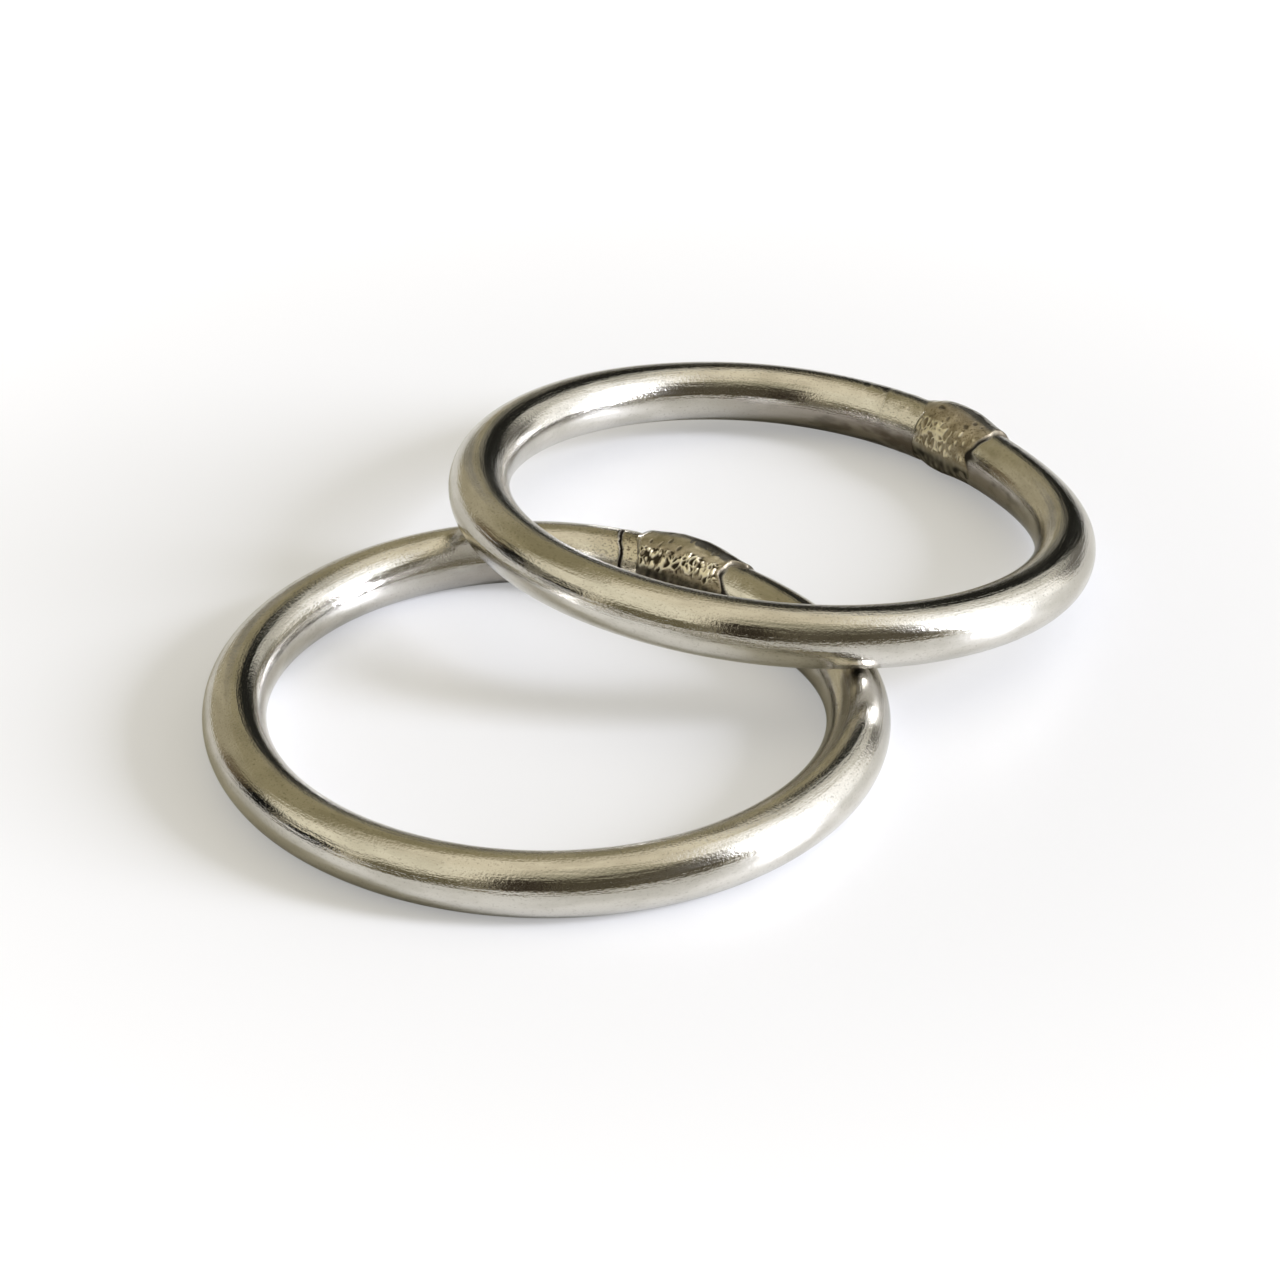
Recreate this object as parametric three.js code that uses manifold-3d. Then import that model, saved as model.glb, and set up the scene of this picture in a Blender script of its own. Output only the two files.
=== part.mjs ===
// Pair of loose welded round rings: one lies flat, the other leans on it.
//
// Each ring is a length of round bar bent to a circle, with its two ends joined by a weld.
// The ends are held straight while they are welded, so the circle is a little flat there,
// and the weld is a swollen collar that stands proud of the bar on its outer and upper sides.
// Millimetres, +Z up. The origin is the middle of the pair's footprint, on the surface it stands on.

import * as THREE from 'three';
import { mergeVertices } from 'three/addons/utils/BufferGeometryUtils.js';
import Module from 'manifold-3d';

const wasm = await Module();
wasm.setup();

// Round bar and the circle it is bent to
const BAR_DIAMETER = 4;
const INSIDE_DIAMETER = 35;
const BAR_RADIUS = BAR_DIAMETER / 2;
const CENTRELINE_RADIUS = (INSIDE_DIAMETER + BAR_DIAMETER) / 2;

// Flat stretch of the circle beside the weld: how far it dips inwards, how far round it
// reaches, and how far it lies to the clockwise side of the weld
const FLAT_DEPTH = 1.36;
const FLAT_SPREAD = THREE.MathUtils.degToRad(35.5);
const FLAT_CENTRE = THREE.MathUtils.degToRad(-14);

// Weld collar
const WELD_LENGTH = 2.15 * BAR_DIAMETER;
const WELD_GAP = 0.1;
const COLLAR_LENGTH = WELD_LENGTH - 0.3;
const COLLAR_HALF_WIDTH = 2.4;
const COLLAR_HALF_HEIGHT = 2.28;
const COLLAR_SHIFT_OUT = 0.25;
const COLLAR_SHIFT_UP = 0.32;

// How the two rings lie. Headings are measured from +X towards +Y.
const LOWER_WELD_HEADING = THREE.MathUtils.degToRad(62.8);
const UPPER_WELD_HEADING = THREE.MathUtils.degToRad(46.7);
const UPPER_OFFSET_X = 14.51;
const UPPER_OFFSET_Y = 20.89;
const UPPER_SLOPE = THREE.MathUtils.degToRad(7.68);
const UPPER_SLOPE_HEADING = THREE.MathUtils.degToRad(51.75);

// Fineness of the solids
const SECTION_SIDES = 16;
const BAR_STEPS = 96;
const WELD_STEPS = 6;
const COLLAR_SEGMENTS = 24;
const COLLAR_ROWS = 10;

const steel = { color: 0xb9b5ad, roughness: 0.28, metalness: 1 };
const weldMetal = { color: 0x8d8474, roughness: 0.55, metalness: 1 };

// Centreline of the bar between two angles. The middle of the weld is at angle 0.
class RingCentreline extends THREE.Curve {
  constructor(startAngle, endAngle) {
    super();
    this.startAngle = startAngle;
    this.endAngle = endAngle;
  }

  getPoint(t, target = new THREE.Vector3()) {
    const angle = THREE.MathUtils.lerp(this.startAngle, this.endAngle, t);
    const turns = Math.round((angle - FLAT_CENTRE) / (2 * Math.PI));
    const away = angle - FLAT_CENTRE - turns * 2 * Math.PI;
    const radius = CENTRELINE_RADIUS - FLAT_DEPTH * Math.exp(-((away / FLAT_SPREAD) ** 2));
    return target.set(radius * Math.cos(angle), radius * Math.sin(angle), 0);
  }
}

// Section of the bar: a polygon with a side facing straight down, so the ring lies flat.
function barSection() {
  const corners = [];
  for (let i = 0; i < SECTION_SIDES; i += 1) {
    const angle = ((i + 0.5) * 2 * Math.PI) / SECTION_SIDES;
    corners.push(new THREE.Vector2(BAR_RADIUS * Math.cos(angle), BAR_RADIUS * Math.sin(angle)));
  }
  return new THREE.Shape(corners);
}

function roundBar(startAngle, endAngle, steps) {
  const extrudePath = new RingCentreline(startAngle, endAngle);
  return new THREE.ExtrudeGeometry(barSection(), { steps, extrudePath, bevelEnabled: false });
}

// Barrel of the swollen weld metal, lying along the bar at the middle of the weld.
function weldCollar() {
  const profile = [];
  for (let i = 0; i <= COLLAR_ROWS; i += 1) {
    const along = -1 + (2 * i) / COLLAR_ROWS;
    const radius = Math.sqrt(1 - along ** 4);
    profile.push(new THREE.Vector2(radius, (along * COLLAR_LENGTH) / 2));
  }
  const collar = new THREE.LatheGeometry(profile, COLLAR_SEGMENTS);
  collar.scale(COLLAR_HALF_WIDTH, 1, COLLAR_HALF_HEIGHT);

  const path = new RingCentreline(-Math.PI / 2, Math.PI / 2);
  const middle = path.getPoint(0.5);
  const tangent = path.getTangent(0.5);
  const turn = new THREE.Quaternion().setFromUnitVectors(new THREE.Vector3(0, 1, 0), tangent);
  collar.applyQuaternion(turn);
  collar.translate(middle.x + COLLAR_SHIFT_OUT, middle.y, COLLAR_SHIFT_UP);
  return collar;
}

function toSolid(geometry) {
  const plain = geometry.clone();
  plain.deleteAttribute('normal');
  plain.deleteAttribute('uv');
  const merged = mergeVertices(plain);
  return new wasm.Manifold(new wasm.Mesh({
    numProp: 3,
    vertProperties: new Float32Array(merged.getAttribute('position').array),
    triVerts: new Uint32Array(merged.index.array),
  }));
}

function toGeometry(solid) {
  const mesh = solid.getMesh();
  const geometry = new THREE.BufferGeometry();
  geometry.setAttribute('position', new THREE.BufferAttribute(mesh.vertProperties, 3));
  geometry.setIndex(new THREE.BufferAttribute(mesh.triVerts, 1));
  geometry.computeVertexNormals();
  return geometry;
}

function makeMesh(name, geometry, finish) {
  const mesh = new THREE.Mesh(geometry, new THREE.MeshStandardMaterial(finish));
  mesh.name = name;
  return mesh;
}

// One ring in its own frame: centre at the origin, axis +Z, weld on the +X side.
function makeRing(name) {
  const weldAngle = WELD_LENGTH / 2 / CENTRELINE_RADIUS;
  const barStart = weldAngle + WELD_GAP / CENTRELINE_RADIUS;
  const bar = roundBar(barStart, 2 * Math.PI - barStart, BAR_STEPS);
  const weld = toSolid(roundBar(-weldAngle, weldAngle, WELD_STEPS)).add(toSolid(weldCollar()));

  const ring = new THREE.Group();
  ring.add(makeMesh(`${name}_bar`, bar, steel));
  ring.add(makeMesh(`${name}_weld`, toGeometry(weld), weldMetal));
  return ring;
}

// Lowers a group until its lowest point is on the surface.
function standOnSurface(group) {
  group.updateMatrixWorld(true);
  group.position.z -= new THREE.Box3().setFromObject(group, true).min.z;
}

const lowerRing = makeRing('lower_ring');
lowerRing.rotation.z = LOWER_WELD_HEADING;
standOnSurface(lowerRing);

const upperRing = makeRing('upper_ring');
upperRing.rotation.z = UPPER_WELD_HEADING - UPPER_SLOPE_HEADING;
const leaningRing = new THREE.Group();
leaningRing.add(upperRing);
leaningRing.rotation.set(0, UPPER_SLOPE, UPPER_SLOPE_HEADING, 'ZYX');
leaningRing.position.set(UPPER_OFFSET_X, UPPER_OFFSET_Y, 0);
standOnSurface(leaningRing);

const pair = new THREE.Group();
pair.add(lowerRing, leaningRing);
pair.updateMatrixWorld(true);
const footprint = new THREE.Box3().setFromObject(pair, true).getCenter(new THREE.Vector3());
pair.position.set(-footprint.x, -footprint.y, 0);

export default pair;
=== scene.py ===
"""Pair of loose welded steel rings: one lies flat on a table and the other leans on it.

Objects are in metres in the CAD model's frame. The rings' own sizes are in millimetres.
"""

import math

import bpy
import numpy as np
from mathutils import Matrix, Vector, noise


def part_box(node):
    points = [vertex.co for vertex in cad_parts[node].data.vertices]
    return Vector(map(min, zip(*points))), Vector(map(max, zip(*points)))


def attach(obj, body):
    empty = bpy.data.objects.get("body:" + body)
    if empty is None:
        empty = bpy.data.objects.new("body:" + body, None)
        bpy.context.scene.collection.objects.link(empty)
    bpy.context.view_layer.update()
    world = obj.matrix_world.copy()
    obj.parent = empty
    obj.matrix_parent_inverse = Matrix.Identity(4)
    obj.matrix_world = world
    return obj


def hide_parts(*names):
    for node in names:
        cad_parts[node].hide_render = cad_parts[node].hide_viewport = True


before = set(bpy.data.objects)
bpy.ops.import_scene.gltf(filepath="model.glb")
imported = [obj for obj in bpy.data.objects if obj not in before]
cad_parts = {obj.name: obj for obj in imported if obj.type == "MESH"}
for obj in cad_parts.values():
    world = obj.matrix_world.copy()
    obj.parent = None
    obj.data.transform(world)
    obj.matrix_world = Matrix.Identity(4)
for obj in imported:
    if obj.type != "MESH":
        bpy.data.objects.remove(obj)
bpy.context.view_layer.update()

MM = 0.001

# ---------------------------------------------------------------- driving sizes, as in the CAD model (mm)
BAR_RADIUS = 2.0
CAD_BAR_SIDES = 16
CENTRELINE_RADIUS = 19.5
ROUND_LENGTH = 2 * math.pi * CENTRELINE_RADIUS
FLAT_DEPTH = 1.36
FLAT_SPREAD = math.radians(35.5)
FLAT_CENTRE = math.radians(-14)
LOWER_WELD_HEADING = math.radians(62.8)
UPPER_WELD_HEADING = math.radians(46.7)
UPPER_OFFSET = Vector((14.51, 20.89, 0))
UPPER_SLOPE = math.radians(7.68)
UPPER_SLOPE_HEADING = math.radians(51.75)

# ---------------------------------------------------------------- fineness of the meshes (mm)
FINE_STEP = 0.08
COARSE_STEP = 0.22
FINE_REACH = 8.5
BAR_SIDES = 96
WELD_STEP = 0.06
WELD_SIDES = 240

# ---------------------------------------------------------------- weld shapes
# Degrees are round the bar: 0 faces out of the ring, 90 up, 180 into the ring and 270 down. The rest is in mm, and
# places along the bar are counted from the middle of the weld.
#
# seed               shift in the noise, so that the two welds differ
# soft_edge          outline of the side that rises softly: (degrees, mm along) pairs
# soft_rise          length over which it rises
# lip_edge           outline of the side that ends in a sharp lip
# lip_arc            first and last degree of the lip's bright ridge
# ridge              height of that ridge
# swell              height everywhere, extra height at the crest, the crest's place, its half width
# inner_swell        extra height on the inner and lower side
# crumb_centre       the crumbs' middle line, from one (mm along, degrees) to another
# crumb_half_width   half their width, in degrees
# crumb_scale        crumbs per mm
# crumb_relief       their height
# crumb_contrast     how far their colour runs from dark pits to cream crests
# crumb_middle       height, from 0 to 1, that has the skin's own colour
# matt_arc           degrees where the matt skin starts, is full, is still full, and ends
# under_shade_arc    degrees where the painted shade underneath starts and is full
# seam               darkness of the line at the soft edge
# wedge              degrees and length of the painted shade that reaches further along the bar at the foot of the lip
# speckle            share of brown flecks on the bar beside the soft edge
# grooves            clamp marks on the bar: mm along at the top, mm along inside, depth, half width
BAR_END = 2.3
WELD_REACH = 5.6
SWELL_CREST = math.radians(50)
WELDS = {
    "lower_ring": {
        "seed": 3.7,
        "soft_edge": ((0, 3.4), (56, 3.7), (90, 3.6), (140, 3.1), (180, 3.0), (270, 3.2)),
        "soft_rise": 0.9,
        "lip_edge": ((0, -4.6), (60, -4.9), (85, -4.1), (115, -4.05), (146, -4.9), (200, -5.2), (270, -5.0)),
        "lip_arc": (48, 132),
        "swell": (0.08, 0.58, -0.3, 3.3),
        "inner_swell": 0.0,
        "crumb_centre": ((-4.7, 123), (2.9, 136)),
        "crumb_half_width": 21,
        "crumb_scale": 2.1,
        "crumb_relief": 0.17,
        "crumb_contrast": 1.05,
        "crumb_middle": 0.38,
        "matt_arc": (92, 118, 160, 175),
        "under_shade_arc": (143, 155),
        "seam": 0.95,
        "ridge": 0.025,
        "wedge": (150, 0.8),
        "speckle": 1.0,
        "grooves": ((4.7, 4.0, 0.15, 0.10),),
    },
    "upper_ring": {
        "seed": 11.2,
        "soft_edge": ((0, 4.0), (56, 4.1), (100, 3.3), (146, 2.2), (200, 2.6), (270, 3.2)),
        "soft_rise": 2.3,
        "lip_edge": (
            (0, -3.6), (56, -3.6), (105, -4.1), (135, -3.9), (160, -3.5), (190, -4.4), (220, -4.8), (300, -4.0),
        ),
        "lip_arc": (40, 168),
        "swell": (0.20, 0.46, 0.1, 2.5),
        "inner_swell": 0.26,
        "crumb_centre": ((-4.0, 148), (2.5, 158)),
        "crumb_half_width": 32,
        "crumb_scale": 1.5,
        "crumb_relief": 0.12,
        "crumb_contrast": 0.42,
        "crumb_middle": 0.16,
        "matt_arc": (80, 100, 176, 196),
        "under_shade_arc": (176, 200),
        "seam": 0.0,
        "ridge": 0.01,
        "wedge": (158, 1.5),
        "speckle": 0.25,
        "grooves": ((6.1, 5.7, 0.02, 0.22), (7.6, 7.4, 0.012, 0.25)),
    },
}


# ---------------------------------------------------------------- placing the rings
def ring_places():
    """World matrix of each ring, worked out from the CAD nodes' boxes. A ring's own frame has its weld on +X."""
    outer = (CENTRELINE_RADIUS + BAR_RADIUS) * MM
    low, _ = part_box("lower_ring_bar")
    _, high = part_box("upper_ring_bar")
    flat_side = BAR_RADIUS * math.cos(math.pi / CAD_BAR_SIDES) * MM
    centre = Vector((low.x + outer, low.y + outer, low.z + flat_side))
    lower = Matrix.Translation(centre) @ Matrix.Rotation(LOWER_WELD_HEADING, 4, "Z")
    rise = (CENTRELINE_RADIUS * math.sin(UPPER_SLOPE) + BAR_RADIUS) * MM
    raised = Vector((centre.x + UPPER_OFFSET.x * MM, centre.y + UPPER_OFFSET.y * MM, high.z - rise))
    upper = (
        Matrix.Translation(raised)
        @ Matrix.Rotation(UPPER_SLOPE_HEADING, 4, "Z")
        @ Matrix.Rotation(UPPER_SLOPE, 4, "Y")
        @ Matrix.Rotation(UPPER_WELD_HEADING - UPPER_SLOPE_HEADING, 4, "Z")
    )
    return {"lower_ring": lower, "upper_ring": upper}


def centreline(angle):
    """Point on the centreline at an angle from the weld, in mm, and the outward direction there."""
    away = (angle - FLAT_CENTRE + math.pi) % (2 * math.pi) - math.pi
    dip = FLAT_DEPTH * math.exp(-((away / FLAT_SPREAD) ** 2))
    radius = CENTRELINE_RADIUS - dip
    slope = dip * 2 * away / FLAT_SPREAD**2
    radial = Vector((math.cos(angle), math.sin(angle), 0))
    round_ = Vector((-math.sin(angle), math.cos(angle), 0))
    tangent = (radial * slope + round_ * radius).normalized()
    return radial * radius, tangent.cross(Vector((0, 0, 1)))


def smooth(value, start, end):
    """0 before start, 1 past end and a soft step between."""
    t = min(1.0, max(0.0, (value - start) / (end - start)))
    return t * t * (3 - 2 * t)


def bell(value, centre, width):
    """1 at the centre, falling to 0.37 at width from it."""
    return math.exp(-(((value - centre) / width) ** 2))


def round_bar(outline, degrees):
    """Value of an outline at an angle round the bar. The outline closes on itself."""
    closed = (*outline, (outline[0][0] + 360, outline[0][1]))
    for (start, a), (end, b) in zip(closed, closed[1:]):
        if start <= degrees <= end:
            return a + (b - a) * smooth(degrees, start, end)
    return closed[-1][1]


# ---------------------------------------------------------------- mesh making
def swept_mesh(name, place, stations, sides, radius_at):
    """A closed tube swept along the centreline, through stations in mm along the bar from the middle of the weld.

    radius_at gives the radius and three surface marks at a place along the bar and a turn round it.
    """
    up = Vector((0, 0, 1))
    turns = [2 * math.pi * j / sides for j in range(sides)]
    verts = []
    coords = []
    marks = []
    for along in stations:
        point, outward = centreline(along / CENTRELINE_RADIUS)
        for turn in turns:
            radius, mark = radius_at(along, turn)
            flat = Vector((along, radius * math.cos(turn), radius * math.sin(turn)))
            verts.append(place @ ((point + outward * flat.y + up * flat.z) * MM))
            coords.append(flat)
            marks.append(mark)
    faces = []
    for i in range(len(stations) - 1):
        for j in range(sides):
            a = i * sides + j
            b = i * sides + (j + 1) % sides
            faces.append((a, b, b + sides, a + sides))
    last = (len(stations) - 1) * sides
    faces.append(tuple(range(sides))[::-1])
    faces.append(tuple(last + j for j in range(sides)))
    mesh = bpy.data.meshes.new(name)
    mesh.from_pydata(verts, [], faces)
    for attribute, values in (("bar_place", coords), ("weld_marks", marks)):
        layer = mesh.attributes.new(attribute, "FLOAT_VECTOR", "POINT")
        layer.data.foreach_set("vector", np.array(values, np.float32).ravel())
    mesh.validate()
    mesh.shade_smooth()
    piece = bpy.data.objects.new(name, mesh)
    bpy.context.scene.collection.objects.link(piece)
    return piece


def even_stations(start, end, step):
    count = round((end - start) / step)
    return [start + (end - start) * i / count for i in range(count)]


def bar_stations():
    """Stations round the ring, from inside one end of the weld to inside the other, closer beside the weld."""
    return (
        even_stations(BAR_END, FINE_REACH, FINE_STEP)
        + even_stations(FINE_REACH, ROUND_LENGTH - FINE_REACH, COARSE_STEP)
        + even_stations(ROUND_LENGTH - FINE_REACH, ROUND_LENGTH - BAR_END, FINE_STEP)
        + [ROUND_LENGTH - BAR_END]
    )


# Heights of the bar's unevenness
BAR_WAVE = 0.012
BAR_SCUFF = 0.022
GROOVE_WANDER = 0.07

# Painted shade on the bar at the foot of the lip
CREVICE_LENGTH = 0.28
CREVICE_SHADE_DARKNESS = 0.95
WEDGE_SPREAD = 7

# Mark X where there are no crumbs
NO_CRUMB = 0.5


def bar_radius(weld):
    """Drawn round bar, slightly wavy, with clamp marks beside the soft edge and painted shade in them and at the
    lip's foot.

    Its marks are no crumbs, brown flecks and darkness, which is painted shade.
    """
    seed = weld["seed"]
    wedge_degrees, wedge_length = weld["wedge"]

    def radius_at(along, turn):
        from_weld = min(along, ROUND_LENGTH - along)
        degrees = math.degrees(turn)
        y = math.cos(turn)
        z = math.sin(turn) + seed
        wave = BAR_WAVE * noise.noise(Vector((along * 0.16, y * 0.5, z * 0.5)))
        near = bell(from_weld, 4.0, 3.0)
        scuff = BAR_SCUFF * near * noise.noise(Vector((along * 1.3, y * 2, z * 2)))

        clamped = smooth(degrees, 62, 80) * (1 - smooth(degrees, 165, 195))
        ragged = GROOVE_WANDER * noise.noise(Vector((along, y * 6, z * 6)))
        groove = 0.0
        for start, end, depth, width in weld["grooves"]:
            line = start + (end - start) * smooth(degrees, 80, 150) + ragged
            groove += depth * clamped * bell(along, line, width)
        # Painted shade in the clamp grooves
        groove_painted_shade = smooth(groove, 0.012, 0.045)

        # Painted shade on the bar at the foot of the lip, reaching further along it in a wedge
        past_lip = ROUND_LENGTH - along + round_bar(weld["lip_edge"], degrees)
        reach = CREVICE_LENGTH + wedge_length * bell(degrees, wedge_degrees, WEDGE_SPREAD)
        crevice_painted_shade = CREVICE_SHADE_DARKNESS * (1 - smooth(past_lip, 0.3 * reach, reach))
        crevice_painted_shade *= smooth(degrees, 95, 115) * (1 - smooth(degrees, 166, 184))

        speckle = weld["speckle"] * (1 - smooth(along, 6.5, 10.0))
        return BAR_RADIUS + wave + scuff - groove, (NO_CRUMB, speckle, max(crevice_painted_shade, groove_painted_shade))

    return radius_at


def weld_stations():
    return even_stations(-WELD_REACH, WELD_REACH, WELD_STEP) + [WELD_REACH]


def crumb_height(spot, scale):
    """Height, from 0 to 1, of the crumbs: ropes of metal with pits between them, broken up by round beads."""
    warp = Vector((
        noise.noise(spot * 1.7),
        noise.noise(spot * 1.7 + Vector((5, 1, 8))),
        noise.noise(spot * 1.9),
    ))
    distances, _ = noise.voronoi(Vector((spot.x * 1.35, spot.y, spot.z)) * scale + warp * 0.5)
    rope = 1 - smooth(distances[1] - distances[0], 0.03, 0.32)
    bead = 1 - smooth(distances[0], 0.20, 0.60)
    choice = smooth(noise.noise(spot * 0.9 + Vector((3, 7, 2))), -0.25, 0.25)
    fine = noise.fractal(spot * 5.0, 1.0, 2.0, 3)
    return min(1.0, max(0.0, rope * choice + bead * (1 - choice) + 0.20 * fine))


# Heights and depths of the weld's skin
SKIN_RELIEF = 0.025
EDGE_WANDER = 0.10
LIP_RISE = 0.22
INNER_SWELL_DEGREES = 222
PIT_DEPTH = 0.04
PIT_DEGREES = 104
BURIED = 0.06
BURIED_PAST_SOFT_EDGE = 0.3

# The weld's underside stays clear of the table
UNDERSIDE_DEGREES = 275
UNDERSIDE_LIFT = 0.02
FREE_LIFT = 0.6


def weld_radius(weld):
    """Swollen weld metal: it rises softly on one side, ends in a sharp lip on the other, and crumbles on its face.

    Its marks are the crumbs' height with a painted dark reflection, mattness, and darkness that holds painted shade.
    """
    seed = weld["seed"]
    floor, peak, crest, spread = weld["swell"]
    (first, first_degrees), (last, last_degrees) = weld["crumb_centre"]
    start_arc, end_arc = weld["lip_arc"]
    start_matt, full_matt, end_full, end_matt = weld["matt_arc"]
    half_width = weld["crumb_half_width"]

    def radius_at(along, turn):
        degrees = math.degrees(turn)
        spot = Vector((along, BAR_RADIUS * math.cos(turn), BAR_RADIUS * math.sin(turn) + seed))
        ragged = EDGE_WANDER * noise.noise(spot * 1.5)
        soft_edge = round_bar(weld["soft_edge"], degrees) + ragged * 1.5
        lip_edge = round_bar(weld["lip_edge"], degrees) + ragged
        band = smooth(soft_edge - along, 0.0, weld["soft_rise"]) * smooth(along - lip_edge, 0.0, LIP_RISE)

        # swollen body
        round_top = (0.5 + 0.5 * math.cos(turn - SWELL_CREST)) ** 1.15
        swell = (floor + peak * bell(along, crest, spread)) * round_top
        swell += weld["inner_swell"] * bell(degrees, INNER_SWELL_DEGREES, 24) * bell(along, crest, 2.1)
        skin = SKIN_RELIEF * noise.fractal(spot * 0.9, 1.0, 2.0, 3)
        arc = smooth(degrees, start_arc, start_arc + 12) * (1 - smooth(degrees, end_arc - 12, end_arc))
        ridge = arc * bell(along, lip_edge + 0.20, 0.11)

        # crumbs along their middle line
        share = (along - first) / (last - first)
        crumb_centre = first_degrees + (last_degrees - first_degrees) * share
        off = abs(degrees - crumb_centre) + 9 * noise.noise(spot * 1.1)
        crumbly = 1 - smooth(off, half_width * 0.72, half_width)
        crumbly *= smooth(soft_edge - along, 0.1, 0.7) * smooth(along - lip_edge, 0.25, 0.5)
        height = crumb_height(spot, weld["crumb_scale"]) if crumbly > 0 else 0.0
        crumbs = crumbly * weld["crumb_relief"] * (height - 0.2)

        # pits above them
        pit = smooth(noise.noise(spot * 2.1 + Vector((9, 2, 4))), 0.28, 0.5) * band * (1 - crumbly)
        pit *= bell(degrees, PIT_DEGREES, 26)

        lift = (swell + skin) * band + weld["ridge"] * ridge + crumbs - PIT_DEPTH * pit
        from_floor = abs(degrees - UNDERSIDE_DEGREES)
        lift = min(lift, UNDERSIDE_LIFT + FREE_LIFT * smooth(from_floor, 24, 60))
        dive = BURIED * (1 - band) + BURIED_PAST_SOFT_EDGE * smooth(along - soft_edge, 0.2, 0.6)

        # mark X: crumbs, with a painted dark reflection along the top of the bead and a faint painted highlight on
        # the lip's ridge
        crumb = NO_CRUMB + crumbly * (height - weld["crumb_middle"]) * weld["crumb_contrast"]
        crumb = crumb + 0.06 * ridge - 0.2 * pit
        # Painted dark reflection along the top of the bead
        top_painted_reflection = 0.25 * smooth(degrees, 20, 45) * (1 - smooth(degrees, 66, 86))

        # mark Y: matt skin on the face and along the lip
        settled = smooth(soft_edge - along, 0.1, 1.4)
        matt = settled * smooth(degrees, start_matt, full_matt) * (1 - smooth(degrees, end_full, end_matt))
        rim = 0.8 * bell(along, lip_edge + 0.15, 0.25)

        # mark Z: dark in the pits and at the soft edge, with painted shade on the lip's steep face and underneath
        face = 1 - smooth(along - lip_edge, 0.04, 0.20)
        # Painted shade on the lip's steep face
        lip_face_painted_shade = face * smooth(degrees, 58, 90) * (1 - smooth(degrees, 190, 215))
        seam = weld["seam"] * bell(along, soft_edge - 0.15, 0.22) * smooth(degrees, 85, 112)
        # Painted shade underneath the weld
        underneath = smooth(degrees, *weld["under_shade_arc"]) * (1 - smooth(degrees, 262, 300))
        under_painted_shade = (0.8 + 0.35 * noise.noise(spot * 2.4)) * underneath

        marks = (crumb - top_painted_reflection, max(crumbly, matt, rim), max(0.35 * pit, lip_face_painted_shade, seam, under_painted_shade))
        return BAR_RADIUS + lift - dive, marks

    return radius_at


# ---------------------------------------------------------------- materials
def new_material(name):
    material = bpy.data.materials.new(name)
    material.use_nodes = True
    nodes = material.node_tree.nodes
    nodes.clear()
    output = nodes.new("ShaderNodeOutputMaterial")
    shader = nodes.new("ShaderNodeBsdfPrincipled")
    material.node_tree.links.new(shader.outputs["BSDF"], output.inputs["Surface"])
    return material, shader


def add_node(material, kind, settings=None, **inputs):
    """Adds a node. Each input is a number, a colour or another node's output; i0, i1 … are inputs by number."""
    node = material.node_tree.nodes.new(kind)
    for key, value in (settings or {}).items():
        setattr(node, key, value)
    for key, value in inputs.items():
        numbered = key[0] == "i" and key[1:].isdigit()
        socket = node.inputs[int(key[1:]) if numbered else key.replace("_", " ")]
        if isinstance(value, bpy.types.NodeSocket):
            material.node_tree.links.new(value, socket)
        else:
            socket.default_value = value
    return node


def link(material, output, socket):
    material.node_tree.links.new(output, socket)


def bar_coordinates(material, scale):
    """Seamless coordinates on the bar: mm along it, and across its section."""
    place = add_node(material, "ShaderNodeAttribute", {"attribute_name": "bar_place"})
    mapping = add_node(material, "ShaderNodeMapping", Vector=place.outputs["Vector"], Scale=scale)
    return mapping.outputs["Vector"]


def noise_on_bar(material, scale, size, detail=3.0, roughness=0.5):
    where = bar_coordinates(material, scale)
    settings = {"Scale": size, "Detail": detail, "Roughness": roughness}
    return add_node(material, "ShaderNodeTexNoise", Vector=where, **settings).outputs["Fac"]


def ramp(material, value, low, high, to_low=0.0, to_high=1.0):
    node = add_node(
        material, "ShaderNodeMapRange", {"interpolation_type": "SMOOTHSTEP"},
        Value=value, From_Min=low, From_Max=high, To_Min=to_low, To_Max=to_high,
    )
    return node.outputs["Result"]


def mix_colour(material, factor, a, b):
    return add_node(material, "ShaderNodeMix", {"data_type": "RGBA"}, i0=factor, i6=a, i7=b).outputs[2]


def mix_value(material, factor, a, b):
    return add_node(material, "ShaderNodeMix", {"data_type": "FLOAT"}, i0=factor, i2=a, i3=b).outputs[0]


def calculate(material, operation, a, b=0.0, c=0.0):
    return add_node(material, "ShaderNodeMath", {"operation": operation}, i0=a, i1=b, i2=c).outputs[0]


def add_bump(material, strength, depth, height, **inputs):
    """Small relief in the shading only, with its depth in mm."""
    sizes = {"Strength": strength, "Distance": depth * MM, "Height": height}
    return add_node(material, "ShaderNodeBump", **sizes, **inputs).outputs["Normal"]


def bar_place(material):
    """Distance from the weld in mm either way round the ring, and the place outwards and upwards in the section."""
    place = add_node(material, "ShaderNodeAttribute", {"attribute_name": "bar_place"})
    parts = add_node(material, "ShaderNodeSeparateXYZ", Vector=place.outputs["Vector"]).outputs
    return calculate(material, "PINGPONG", parts["X"], ROUND_LENGTH / 2), parts["Y"], parts["Z"]


def near_weld(material):
    """1 beside the weld and 0 past the end of the stretch that the torch has dulled."""
    from_weld, _, _ = bar_place(material)
    return ramp(material, from_weld, 3.0, DULLED_LENGTH, 1.0, 0.0)


def inner_low_darkening(material):
    """1 on the inner and lower side of the bar beside the weld, fading along the bar and up its side."""
    from_weld, outward, upward = bar_place(material)
    along = ramp(material, from_weld, 6.0, INNER_LOW_LENGTH, 1.0, 0.0)
    turned = calculate(material, "ADD", outward, upward)
    uneven = noise_on_bar(material, (0.5, 1.2, 1.2), 1.0, 3.0)
    across = ramp(material, calculate(material, "ADD", turned, uneven), -1.6, -0.5, 1.0, 0.0)
    return calculate(material, "MULTIPLY", along, across)


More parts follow.
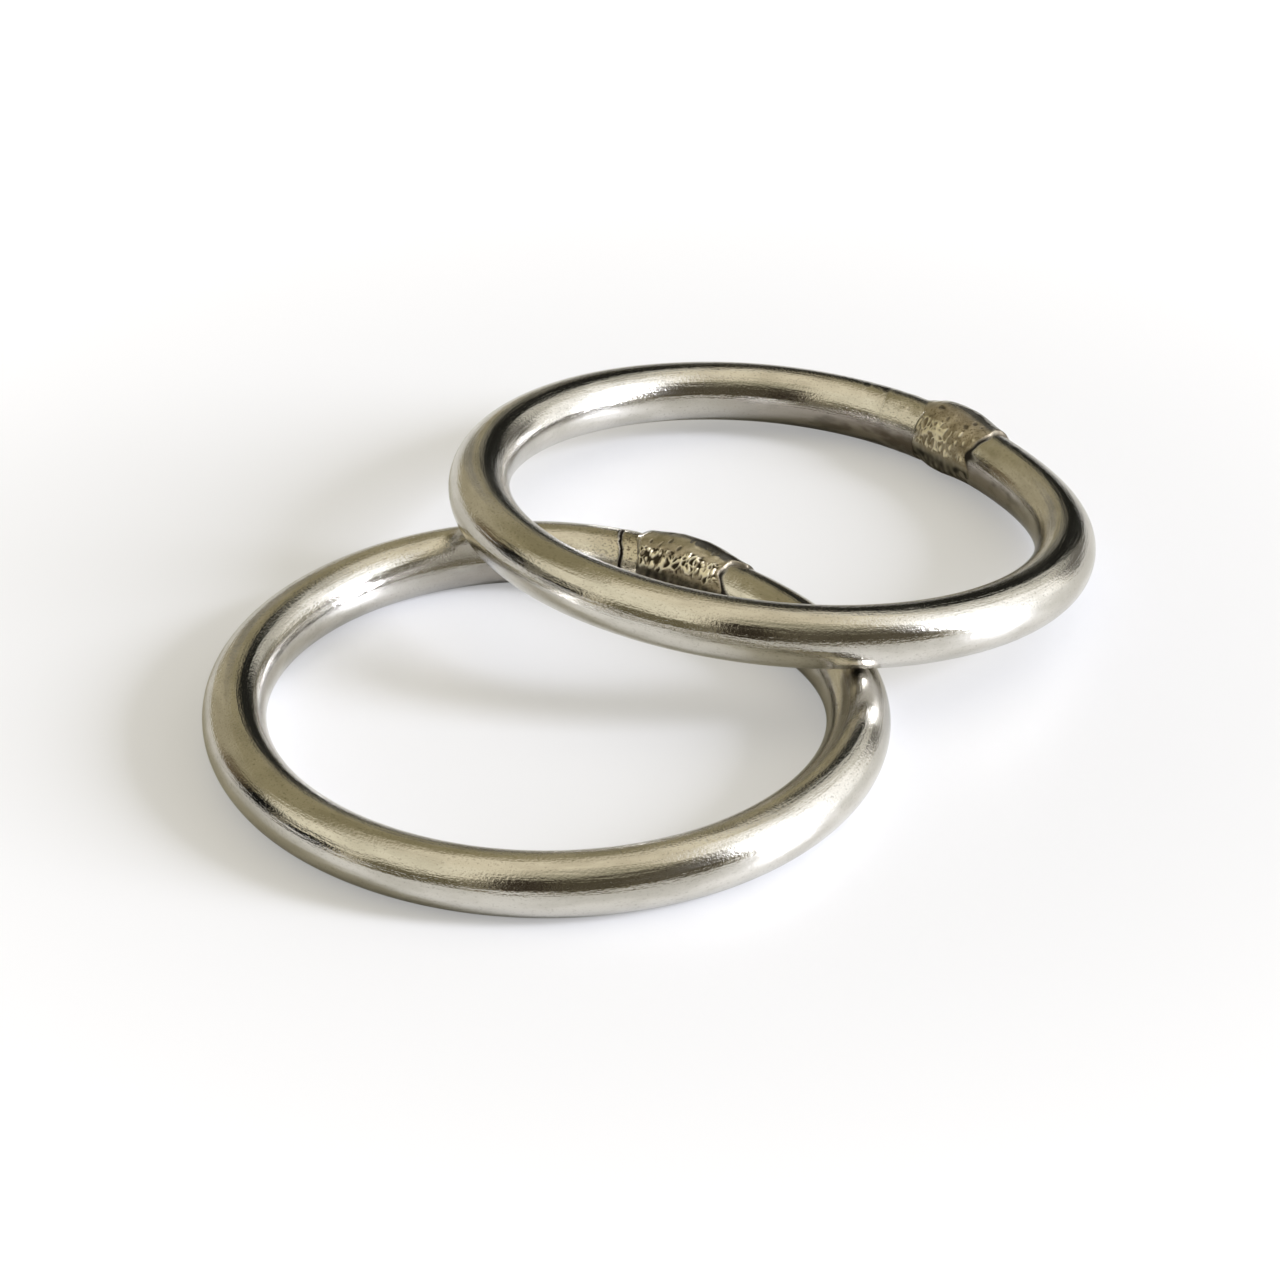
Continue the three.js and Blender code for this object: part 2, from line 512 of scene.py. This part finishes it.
def weld_marks(material):
    """The three marks stored on the mesh: X is crumb height, Y mattness or flecks, Z darkness, which is painted
    shade but for the weld's pits and seam line.
    """
    marks = add_node(material, "ShaderNodeAttribute", {"attribute_name": "weld_marks"})
    return add_node(material, "ShaderNodeSeparateXYZ", Vector=marks.outputs["Vector"]).outputs


# Steel, and how far from the weld it is dulled and darkened on its inner, lower side (mm)
STEEL_BRIGHT = (0.72, 0.70, 0.66, 1)
STEEL_DULL = (0.60, 0.58, 0.535, 1)
STEEL_SPECK = (0.40, 0.38, 0.34, 1)
TARNISH = (0.55, 0.51, 0.41, 1)
TARNISH_FLECK = (0.17, 0.14, 0.10, 1)
# Darker, browner inner and lower side of the bar beside the weld
INNER_LOW_DARK = (0.14, 0.12, 0.10, 1)
INNER_LOW_LIGHT = (0.30, 0.27, 0.24, 1)
# Painted shade in the clamp grooves and at the foot of the lip
GROOVE_AND_LIP_PAINTED_SHADE = (0.03, 0.025, 0.02, 1)
DULLED_LENGTH = 7.5
INNER_LOW_LENGTH = 26.0
POLISHED_ROUGHNESS = (0.09, 0.18)
DULLED_ROUGHNESS = 0.24
CREVICE_ROUGHNESS = 0.9
DRAWN_LINE_DEPTH = 0.032
GRAIN_DEPTH = 0.016

# Weld metal
BARE_DARK = (0.42, 0.385, 0.30, 1)
BARE_LIGHT = (0.60, 0.56, 0.47, 1)
SKIN_LIGHT = (0.50, 0.44, 0.33, 1)
SKIN_DARK = (0.30, 0.255, 0.175, 1)
SKIN_SPOT = (0.15, 0.12, 0.08, 1)
PIT_BROWN = (0.05, 0.04, 0.025, 1)
CREST_CREAM = (0.97, 0.91, 0.72, 1)
# Dark pits and seam line, with painted shade on the lip's face and underneath
WELD_DARK_AND_PAINTED_SHADE = (0.045, 0.04, 0.03, 1)
BARE_ROUGHNESS = 0.15
SKIN_ROUGHNESS = 0.55
WELD_DARK_ROUGHNESS = 0.8
WELD_METALLIC = 0.92
SKIN_GRAIN_DEPTH = 0.02


def steel_material():
    """Drawn and barrel-polished steel: soft mirror, fine lines along the bar, duller and browner beside the weld,
    darker on its inner, lower side there, and painted shade in the clamp grooves and at the lip's foot.
    """
    material, shader = new_material("polished_bar")
    beside = near_weld(material)
    marks = weld_marks(material)
    patches = noise_on_bar(material, (0.35, 1.0, 1.0), 0.9)
    lines = noise_on_bar(material, (0.16, 3.2, 3.2), 1.0, 4.0, 0.55)
    grain = noise_on_bar(material, (5.0, 7.0, 7.0), 1.0, 2.0, 0.6)

    clean = mix_colour(material, ramp(material, patches, 0.35, 0.65), STEEL_BRIGHT, STEEL_DULL)
    clean = mix_colour(material, ramp(material, grain, 0.55, 0.72, 0.0, 0.5), clean, STEEL_SPECK)
    brown = mix_colour(material, ramp(material, grain, 0.53, 0.62), TARNISH, TARNISH_FLECK)
    surface = mix_colour(material, calculate(material, "MULTIPLY", beside, marks["Y"]), clean, brown)
    # Darker, browner on the inner and lower side of the bar beside the weld
    scale = mix_colour(material, ramp(material, patches, 0.4, 0.6), INNER_LOW_DARK, INNER_LOW_LIGHT)
    surface = mix_colour(material, inner_low_darkening(material), surface, scale)
    # Painted shade in the clamp grooves and at the foot of the lip
    surface = mix_colour(material, marks["Z"], surface, GROOVE_AND_LIP_PAINTED_SHADE)
    link(material, surface, shader.inputs["Base Color"])

    shine = ramp(material, lines, 0.3, 0.75, *POLISHED_ROUGHNESS)
    dull = mix_value(material, beside, shine, DULLED_ROUGHNESS)
    link(material, mix_value(material, marks["Z"], dull, CREVICE_ROUGHNESS), shader.inputs["Roughness"])
    shader.inputs["Metallic"].default_value = 1.0

    drawn = add_bump(material, 1.0, DRAWN_LINE_DEPTH, lines)
    grainy = add_bump(material, 1.0, GRAIN_DEPTH, grain, Normal=drawn)
    link(material, grainy, shader.inputs["Normal"])
    return material


def weld_material():
    """Weld metal as left by the torch: matt tan skin, cream crumbs and dark pits, with painted shade on the lip's
    face and underneath and a painted dark reflection along the top.
    """
    material, shader = new_material("weld_metal")
    marks = weld_marks(material)
    cloud = noise_on_bar(material, (0.8, 1.0, 1.0), 1.3, 4.0)
    fine = noise_on_bar(material, (4.0, 4.0, 4.0), 1.5, 4.0, 0.65)

    bare = mix_colour(material, ramp(material, cloud, 0.38, 0.62), BARE_DARK, BARE_LIGHT)
    matt = mix_colour(material, ramp(material, cloud, 0.35, 0.65), SKIN_LIGHT, SKIN_DARK)
    matt = mix_colour(material, ramp(material, fine, 0.5, 0.68), matt, SKIN_SPOT)
    surface = mix_colour(material, marks["Y"], bare, matt)
    surface = mix_colour(material, ramp(material, marks["X"], 0.20, 0.46), PIT_BROWN, surface)
    surface = mix_colour(material, ramp(material, marks["X"], 0.52, 0.92), surface, CREST_CREAM)
    # Dark pits and seam line, with painted shade on the lip's face and underneath
    surface = mix_colour(material, marks["Z"], surface, WELD_DARK_AND_PAINTED_SHADE)
    link(material, surface, shader.inputs["Base Color"])

    dull = mix_value(material, marks["Y"], BARE_ROUGHNESS, SKIN_ROUGHNESS)
    link(material, mix_value(material, marks["Z"], dull, WELD_DARK_ROUGHNESS), shader.inputs["Roughness"])
    shader.inputs["Metallic"].default_value = WELD_METALLIC

    relief = mix_value(material, marks["Y"], 0.5, fine)
    link(material, add_bump(material, 0.5, SKIN_GRAIN_DEPTH, relief), shader.inputs["Normal"])
    return material


# ---------------------------------------------------------------- the object
def build_rings():
    steel = steel_material()
    weld_metal = weld_material()
    for ring, place in ring_places().items():
        weld = WELDS[ring]
        bar = swept_mesh(f"{ring}_polished_bar", place, bar_stations(), BAR_SIDES, bar_radius(weld))
        bar.data.materials.append(steel)
        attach(bar, ring)
        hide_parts(f"{ring}_bar")
        bead = swept_mesh(f"{ring}_weld_bead", place, weld_stations(), WELD_SIDES, weld_radius(weld))
        bead.data.materials.append(weld_metal)
        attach(bead, ring)
        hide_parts(f"{ring}_weld")


# ---------------------------------------------------------------- floor, light and camera
WHITE = (1.0, 1.0, 1.0, 1)
FLOOR_RADIUS = 2.5
FLOOR_SIDES = 96
# Painted shade: the floor is darker near the object
FLOOR_SHADE_FADE = (0.02, 0.09)
FLOOR_NEAR = (0.50, 0.502, 0.515, 1)
FLOOR_FAR = (0.65, 0.652, 0.665, 1)
FLOOR_IN_STEEL = (0.72, 0.72, 0.70, 1)
FLOOR_GLOW = 0.34
FLOOR_ROUGHNESS = 0.42


def floor_material():
    """Plain pale table top, darker near the object with painted shade and darker as the steel mirrors it; a painted
    glow lifts it for the camera alone.
    """
    material, shader = new_material("pale_floor")
    place = add_node(material, "ShaderNodeTexCoord").outputs["Object"]
    away = add_node(material, "ShaderNodeVectorMath", {"operation": "LENGTH"}, i0=place).outputs["Value"]
    shown = mix_colour(material, ramp(material, away, *FLOOR_SHADE_FADE), FLOOR_NEAR, FLOOR_FAR)
    seen = add_node(material, "ShaderNodeLightPath").outputs["Is Camera Ray"]
    link(material, mix_colour(material, seen, FLOOR_IN_STEEL, shown), shader.inputs["Base Color"])
    # Painted glow, seen by the camera alone, that lifts the floor's shadows
    link(material, mix_value(material, seen, 0.0, FLOOR_GLOW), shader.inputs["Emission Strength"])
    shader.inputs["Emission Color"].default_value = WHITE
    shader.inputs["Roughness"].default_value = FLOOR_ROUGHNESS
    shader.inputs["Specular IOR Level"].default_value = 0.5
    return material


def build_floor():
    """A flat disc that touches the round bars, which reach a little lower than the CAD bars' flat sides."""
    mesh = bpy.data.meshes.new("pale_floor")
    level = -BAR_RADIUS * (1 - math.cos(math.pi / CAD_BAR_SIDES)) * MM
    verts = []
    for i in range(FLOOR_SIDES):
        angle = 2 * math.pi * i / FLOOR_SIDES
        verts.append((FLOOR_RADIUS * math.cos(angle), FLOOR_RADIUS * math.sin(angle), level))
    mesh.from_pydata(verts, [], [tuple(range(FLOOR_SIDES))])
    floor = bpy.data.objects.new("pale_floor", mesh)
    floor.data.materials.append(floor_material())
    bpy.context.scene.collection.objects.link(floor)


# Soft patches of the room round the table: heading of the middle from +Y towards +X, height of the middle, half
# width, half height and softness of the edge, all in degrees, then the colour. Later ones lie over earlier ones.
ROOM = (
    ("left_wall", -105, 46, 46, 22, 12, (0.90, 0.84, 0.65)),
    ("left_low", -139, 10, 20, 19, 10, (0.15, 0.13, 0.075)),
    ("cabinet", -34, 31, 38, 30, 13, (0.31, 0.27, 0.155)),
    ("cabinet_low", -34, 12, 26, 20, 16, (0.46, 0.41, 0.28)),
    ("books", -16, 14, 6, 12, 7, (0.28, 0.26, 0.21)),
    ("door_frame", 2, 6, 6, 14, 6, (0.19, 0.18, 0.15)),
    ("right_wall", 36, 27, 20, 30, 16, (0.68, 0.66, 0.58)),
    ("window_glow", 82, 25, 26, 36, 26, (1.36, 1.35, 1.32)),
    ("shelf", 41, 5, 12, 15, 9, (0.17, 0.16, 0.14)),
    ("window_veil", 98, 21, 14, 28, 18, (2.2, 2.25, 2.3)),
    ("window", 99, 19, 6, 14, 5, (58.0, 60.0, 68.0)),
    ("door_edge", 17, 18, 13, 28, 6, (0.015, 0.015, 0.012)),
    ("chair_seat", -64, 7, 9, 12, 8, (0.17, 0.13, 0.08)),
    ("chair_back", -79, 12, 10, 15, 5, (0.005, 0.005, 0.005)),
    ("chair_post", -102, 7, 11, 15, 6, (0.01, 0.01, 0.01)),
    ("far_ceiling", 160, 46, 36, 28, 26, (0.42, 0.39, 0.28)),
    ("photographer", 156, 26, 41, 25, 16, (0.10, 0.085, 0.055)),
    ("photographer_arm", -171, 28, 10, 24, 10, (0.04, 0.03, 0.02)),
)
CEILING = (0.84, 0.76, 0.57, 1)
WOBBLE = math.radians(10)


def inside(world, off_middle, half, soft):
    """1 within half a patch of its middle, falling to 0 over the soft edge. off_middle is in radians."""
    edge = math.radians(soft) / 2
    off = calculate(world, "ABSOLUTE", off_middle)
    return ramp(world, off, math.radians(half) - edge, math.radians(half) + edge, 1, 0)


def build_world():
    """A room for the steel to mirror. The camera itself sees plain white past the floor."""
    world = bpy.data.worlds.new("studio")
    bpy.context.scene.world = world
    world.use_nodes = True
    world.node_tree.nodes.clear()

    def wavering(angle, share):
        return calculate(world, "ADD", angle, calculate(world, "MULTIPLY_ADD", share, WOBBLE, -WOBBLE / 2))

    direction = add_node(world, "ShaderNodeTexCoord").outputs["Generated"]
    parts = add_node(world, "ShaderNodeSeparateXYZ", Vector=direction).outputs
    uneven = add_node(world, "ShaderNodeTexNoise", Vector=direction, Scale=5.0, Detail=3.0).outputs["Color"]
    shares = add_node(world, "ShaderNodeSeparateColor", Color=uneven).outputs
    heading = wavering(calculate(world, "ARCTAN2", parts["X"], parts["Y"]), shares["Red"])
    height = wavering(calculate(world, "ARCSINE", parts["Z"]), shares["Green"])

    colour = CEILING
    for _, middle, level, half_width, half_height, soft, shade in ROOM:
        turned = calculate(world, "SUBTRACT", heading, math.radians(middle))
        across = inside(world, calculate(world, "WRAP", turned, math.pi, -math.pi), half_width, soft)
        upright = inside(world, calculate(world, "SUBTRACT", height, math.radians(level)), half_height, soft)
        colour = mix_colour(world, calculate(world, "MULTIPLY", across, upright), colour, (*shade, 1))

    seen = add_node(world, "ShaderNodeLightPath").outputs["Is Camera Ray"]
    shown = mix_colour(world, seen, colour, WHITE)
    background = add_node(world, "ShaderNodeBackground", Color=shown)
    output = add_node(world, "ShaderNodeOutputWorld")
    link(world, background.outputs[0], output.inputs["Surface"])


CAMERA_DISTANCE = 0.30884
CAMERA_ELEVATION = math.radians(31.48)
CAMERA_ROLL = math.radians(0.47)
CAMERA_LENS = 139.4
CAMERA_SENSOR = 36
AIM_RIGHT = 5.727 * MM
AIM_UP = 4.219 * MM


def build_camera():
    """Camera that looks along +Y and down. Its aim is counted from the lower ring's middle, in the picture plane."""
    data = bpy.data.cameras.new("camera")
    data.lens = CAMERA_LENS
    data.sensor_width = CAMERA_SENSOR
    data.clip_start = 0.01
    data.clip_end = 10
    camera = bpy.data.objects.new("camera", data)
    bpy.context.scene.collection.objects.link(camera)
    forward = Vector((0, math.cos(CAMERA_ELEVATION), -math.sin(CAMERA_ELEVATION)))
    level_up = Vector((0, math.sin(CAMERA_ELEVATION), math.cos(CAMERA_ELEVATION)))
    right = Vector((math.cos(CAMERA_ROLL), 0, 0)) + level_up * math.sin(CAMERA_ROLL)
    up = right.cross(forward)
    middle = ring_places()["lower_ring"].translation
    turn = Matrix((right, up, -forward)).transposed()
    spot = middle + right * AIM_RIGHT + up * AIM_UP - forward * CAMERA_DISTANCE
    camera.matrix_world = Matrix.Translation(spot) @ turn.to_4x4()
    bpy.context.scene.camera = camera


build_camera()
build_world()
build_floor()
build_rings()
bpy.context.scene.view_settings.view_transform = "Standard"
